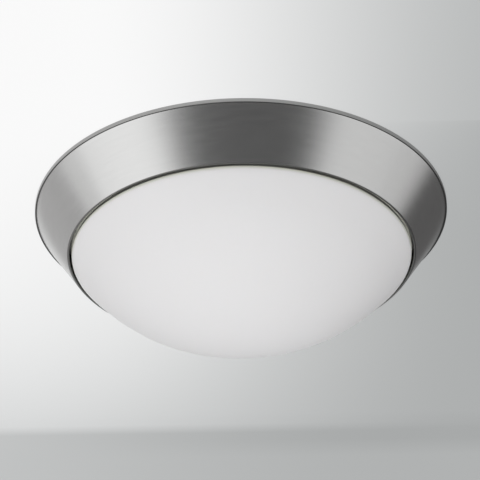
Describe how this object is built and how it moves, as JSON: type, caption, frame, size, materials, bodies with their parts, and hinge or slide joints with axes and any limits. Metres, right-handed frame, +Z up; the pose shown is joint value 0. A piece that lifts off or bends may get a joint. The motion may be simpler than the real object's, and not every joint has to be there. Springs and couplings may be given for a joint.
{
  "type": "flush ceiling light",
  "caption": "Round flush ceiling light: a flared brushed-nickel ring round a shallow opal glass bowl, with lampholders, lamps and wiring behind it and a slotted bar for a ceiling box.",
  "frame": {"origin": "centre of the mounting bar's upper face, in the plane of the ceiling", "axes": "+Z up into the ceiling, along the axis of the light; +X along the mounting bar and the lamps; -Y towards the side that the picture shows nearest"},
  "size_m": [0.4064, 0.4064, 0.1313],
  "materials": {
    "brushed_nickel": "satin nickel, brushed round the axis",
    "white_enamel": "gloss white",
    "zinc_plate": "bright zinc plate",
    "green_screw": "green dyed zinc plate",
    "spring_steel": "tempered spring steel",
    "opal_glass": "satin cased opal",
    "frosted_glass": "frosted inside",
    "lamp_cap": "bright",
    "lamp_base": "black glass insulator with a soldered eyelet",
    "porcelain": "white glaze",
    "brass": "stamped",
    "bare_copper": "bare copper wire",
    "glass_fibre": "glass-fibre felt",
    "foil": "bright foil",
    "nylon": "natural nylon",
    "black_insulation": "braided sleeve",
    "white_insulation": "braided sleeve",
    "connector_plastic": "moulded"
  },
  "bodies": {
    "fixture": {"crossbar": "zinc_plate", "earth_screw": "green_screw", "mounting_screws": "zinc_plate", "mounting_washers": "zinc_plate", "pan": "white_enamel", "trim_ring": "brushed_nickel", "ring_rivets": "zinc_plate", "insulation_pad": "glass_fibre", "insulation_foil": "foil", "wire_bushing": "nylon", "holder_bracket_1": "zinc_plate", "holder_bracket_2": "zinc_plate", "bracket_rivets": "zinc_plate", "lampholder_1": "porcelain", "lampholder_2": "porcelain", "screw_shell_1": "brass", "screw_shell_2": "brass", "centre_contact_1": "brass", "centre_contact_2": "brass", "holder_screws": "zinc_plate", "black_lead_1": "black_insulation", "white_lead_1": "white_insulation", "black_lead_2": "black_insulation", "white_lead_2": "white_insulation", "line_connector": "connector_plastic", "neutral_connector": "connector_plastic", "earth_wire": "bare_copper", "pan_earth_screw": "green_screw", "glass_clips": "spring_steel", "clip_rivets": "zinc_plate"},
    "lamp_1": {"lamp_1_globe": "frosted_glass", "lamp_1_cap": "lamp_cap", "lamp_1_eyelet": "lamp_base"},
    "lamp_2": {"lamp_2_globe": "frosted_glass", "lamp_2_cap": "lamp_cap", "lamp_2_eyelet": "lamp_base"},
    "glass": {"glass_bowl": "opal_glass"}
  },
  "joints": [
    {"name": "glass_drop", "type": "slide", "parent": "fixture", "child": "glass", "axis": [0, 0, -1], "range_m": [0, 0.1], "deforming": ["glass_clips"]},
    {"name": "lamp_1_draw", "type": "slide", "parent": "fixture", "child": "lamp_1", "axis": [1, 0, 0], "range_m": [0, 0.032]},
    {"name": "lamp_2_draw", "type": "slide", "parent": "fixture", "child": "lamp_2", "axis": [-1, 0, 0], "range_m": [0, 0.032]}
  ]
}
